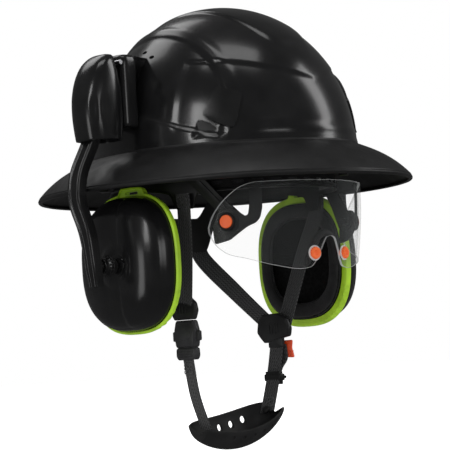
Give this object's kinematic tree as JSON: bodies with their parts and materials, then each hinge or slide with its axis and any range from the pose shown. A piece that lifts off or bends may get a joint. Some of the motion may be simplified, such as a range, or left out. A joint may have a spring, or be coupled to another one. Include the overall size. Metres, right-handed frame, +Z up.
{
  "type": "forestry helmet",
  "caption": "Full-brim safety helmet with ratchet headband, clip-on ear muffs on outside arms, a clear drop-down visor and a chin strap with buckle and cup.",
  "frame": {"origin": "centre of the headband ring at the height of the brim's edge, where a head sits", "axes": "+Z up, -Y towards the wearer's front, +X to the wearer's left"},
  "size_m": [0.3116, 0.324, 0.3595],
  "materials": {
    "gloss_black": "moulded, high gloss",
    "satin_black": "moulded, satin",
    "webbing": "ribbed polyester webbing",
    "padding": "soft foam under knitted or leatherette skin",
    "lime": "moulded, satin",
    "orange": "moulded, satin",
    "lock_red": "moulded, satin",
    "buckle_grey": "moulded, ribbed",
    "clear_lens": "clear, glossy",
    "foam": "open-cell foam",
    "steel": "ground pin"
  },
  "bodies": {
    "helmet": {"shell": "gloss_black", "slot_cover_left": "satin_black", "slot_cover_right": "satin_black", "headband": "satin_black", "sweatband": "padding", "crown_straps": "webbing", "crown_pad": "padding", "suspension_lug_front_left": "satin_black", "suspension_lug_front_right": "satin_black", "suspension_lug_rear_left": "satin_black", "suspension_lug_rear_right": "satin_black", "muff_adapter_left": "gloss_black", "muff_adapter_right": "gloss_black", "visor_pivot_left": "satin_black", "visor_pivot_right": "satin_black", "front_strap_left": "webbing", "front_strap_right": "webbing", "rear_strap_left": "webbing", "rear_strap_right": "webbing", "strap_slider_left": "satin_black", "strap_slider_right": "satin_black", "buckle_housing": "buckle_grey"},
    "nape_cradle": {"nape_cradle": "satin_black", "nape_pad": "padding", "ratchet_housing": "satin_black"},
    "ratchet_knob": {"ratchet_knob": "satin_black"},
    "muff_swivel_right": {"muff_hinge_pin_right": "steel"},
    "muff_frame_right": {"muff_hood_right": "gloss_black", "muff_arm_right": "satin_black"},
    "muff_slider_right": {"muff_slider_right": "satin_black"},
    "cup_pivot_right": {"cup_pivot_right": "satin_black"},
    "ear_cup_right": {"cup_shell_right": "gloss_black", "cup_rim_right": "lime", "cup_cushion_right": "padding", "cup_liner_right": "foam"},
    "muff_swivel_left": {"muff_hinge_pin_left": "steel"},
    "muff_frame_left": {"muff_hood_left": "gloss_black", "muff_arm_left": "satin_black"},
    "muff_slider_left": {"muff_slider_left": "satin_black"},
    "cup_pivot_left": {"cup_pivot_left": "satin_black"},
    "ear_cup_left": {"cup_shell_left": "gloss_black", "cup_rim_left": "lime", "cup_cushion_left": "padding", "cup_liner_left": "foam"},
    "visor_arms": {"visor_arm_left": "satin_black", "visor_arm_right": "satin_black"},
    "visor": {"visor_lens": "clear_lens", "visor_bracket_left": "satin_black", "visor_bracket_right": "satin_black", "visor_button_left": "orange", "visor_button_right": "orange", "nose_clip_left": "orange", "nose_clip_right": "orange", "nose_pad": "padding"},
    "chin_loop": {"buckle_plug": "buckle_grey", "lower_strap_left": "webbing", "lower_strap_right": "webbing", "chin_cup": "satin_black", "strap_keeper": "satin_black"},
    "lock_lever": {"lock_lever_left": "lock_red"}
  },
  "joints": [
    {"name": "nape_slide", "type": "slide", "parent": "helmet", "child": "nape_cradle", "axis": [0, 1, 0], "range_m": [0, 0.014]},
    {"name": "knob_turn", "type": "hinge", "parent": "nape_cradle", "child": "ratchet_knob", "pos_m": [0, 0.1146, -0.024], "axis": [0, 1, 0], "range_deg": [0, 134]},
    {"name": "muff_swivel_right", "type": "hinge", "parent": "helmet", "child": "muff_swivel_right", "pos_m": [-0.116, 0, 0.072], "axis": [1, 0, 0], "range_deg": [-12, 12]},
    {"name": "muff_swing_right", "type": "hinge", "parent": "muff_swivel_right", "child": "muff_frame_right", "pos_m": [-0.1176, 0, 0.101], "axis": [0, 1, 0], "range_deg": [0, 16]},
    {"name": "cup_height_right", "type": "slide", "parent": "muff_frame_right", "child": "muff_slider_right", "axis": [0.0663, -0.0714, -0.9952], "range_m": [-0.01, 0.006]},
    {"name": "cup_turn_right", "type": "hinge", "parent": "muff_slider_right", "child": "cup_pivot_right", "pos_m": [-0.1275, 0.0005, -0.058], "axis": [0, 0, -1], "range_deg": [-6, 6]},
    {"name": "cup_tilt_right", "type": "hinge", "parent": "cup_pivot_right", "child": "ear_cup_right", "pos_m": [-0.1275, 0.0005, -0.058], "axis": [0, -1, 0], "range_deg": [-6, 6]},
    {"name": "muff_swivel_left", "type": "hinge", "parent": "helmet", "child": "muff_swivel_left", "pos_m": [0.116, 0, 0.072], "axis": [1, 0, 0], "range_deg": [-12, 12]},
    {"name": "muff_swing_left", "type": "hinge", "parent": "muff_swivel_left", "child": "muff_frame_left", "pos_m": [0.1176, 0, 0.101], "axis": [0, -1, 0], "range_deg": [0, 16]},
    {"name": "cup_height_left", "type": "slide", "parent": "muff_frame_left", "child": "muff_slider_left", "axis": [-0.0663, -0.0714, -0.9952], "range_m": [-0.01, 0.006]},
    {"name": "cup_turn_left", "type": "hinge", "parent": "muff_slider_left", "child": "cup_pivot_left", "pos_m": [0.1275, 0.0005, -0.058], "axis": [0, 0, 1], "range_deg": [-6, 6]},
    {"name": "cup_tilt_left", "type": "hinge", "parent": "cup_pivot_left", "child": "ear_cup_left", "pos_m": [0.1275, 0.0005, -0.058], "axis": [0, 1, 0], "range_deg": [-6, 6]},
    {"name": "visor_raise", "type": "hinge", "parent": "helmet", "child": "visor_arms", "pos_m": [0, -0.028, 0.028], "axis": [-1, 0, 0], "range_deg": [-2, 11]},
    {"name": "visor_tilt", "type": "hinge", "parent": "visor_arms", "child": "visor", "pos_m": [0, -0.0745, -0.0295], "axis": [-1, 0, 0], "range_deg": [-4, 8]},
    {"name": "chin_loop_slide", "type": "slide", "parent": "helmet", "child": "chin_loop", "axis": [0, 0, -1], "range_m": [0, 0.02]},
    {"name": "lock_lever_turn", "type": "hinge", "parent": "helmet", "child": "lock_lever", "pos_m": [0.0596, 0.003, -0.125], "axis": [0, -1, 0], "range_deg": [0, 60]}
  ],
  "couplings": [
    {"joint": "knob_turn", "follows": "nape_slide", "rad_per_m": 166.67}
  ]
}
